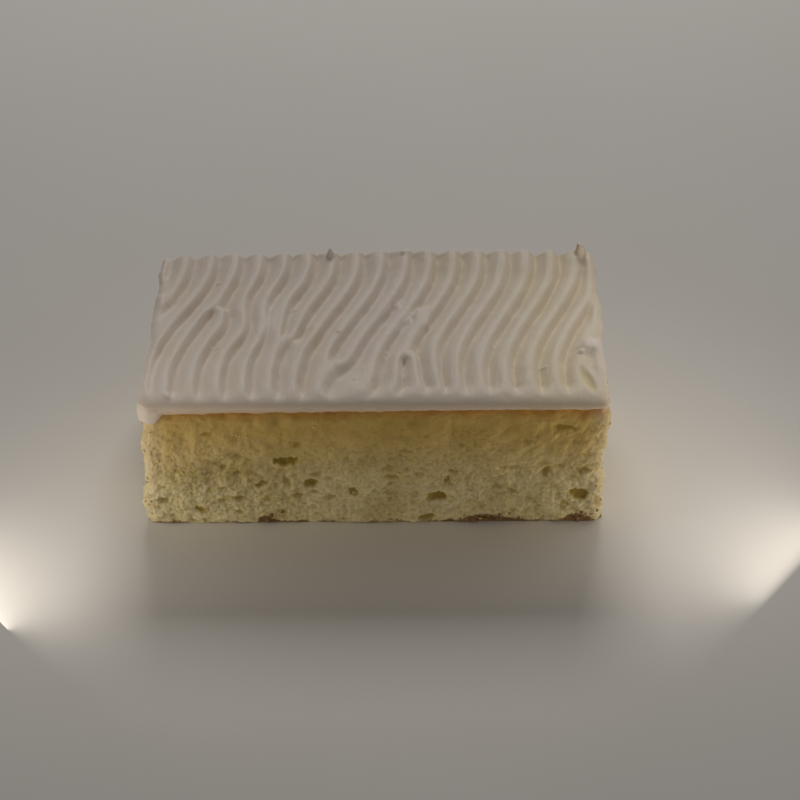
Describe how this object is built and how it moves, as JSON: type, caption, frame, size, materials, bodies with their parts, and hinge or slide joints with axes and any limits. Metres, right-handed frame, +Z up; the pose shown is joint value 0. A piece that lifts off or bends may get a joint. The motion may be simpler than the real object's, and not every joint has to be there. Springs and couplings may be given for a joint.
{
  "type": "lemon cake slice",
  "caption": "Rectangular piece of lemon sheet cake: pale yellow open-crumbed sponge under a layer of off-white icing combed into S-shaped waves.",
  "frame": {"origin": "centre of the flat base that the slice stands on", "axes": "+X along the long cut side (to the right when the front is seen), +Y from the front towards the back, +Z up; the comb's strokes run from back to front"},
  "size_m": [0.1012, 0.0608, 0.0343],
  "materials": {
    "sponge": "matte open crumb",
    "icing": "soft satin"
  },
  "bodies": {
    "root": {"sponge": "sponge", "icing": "icing"}
  },
  "joints": []
}
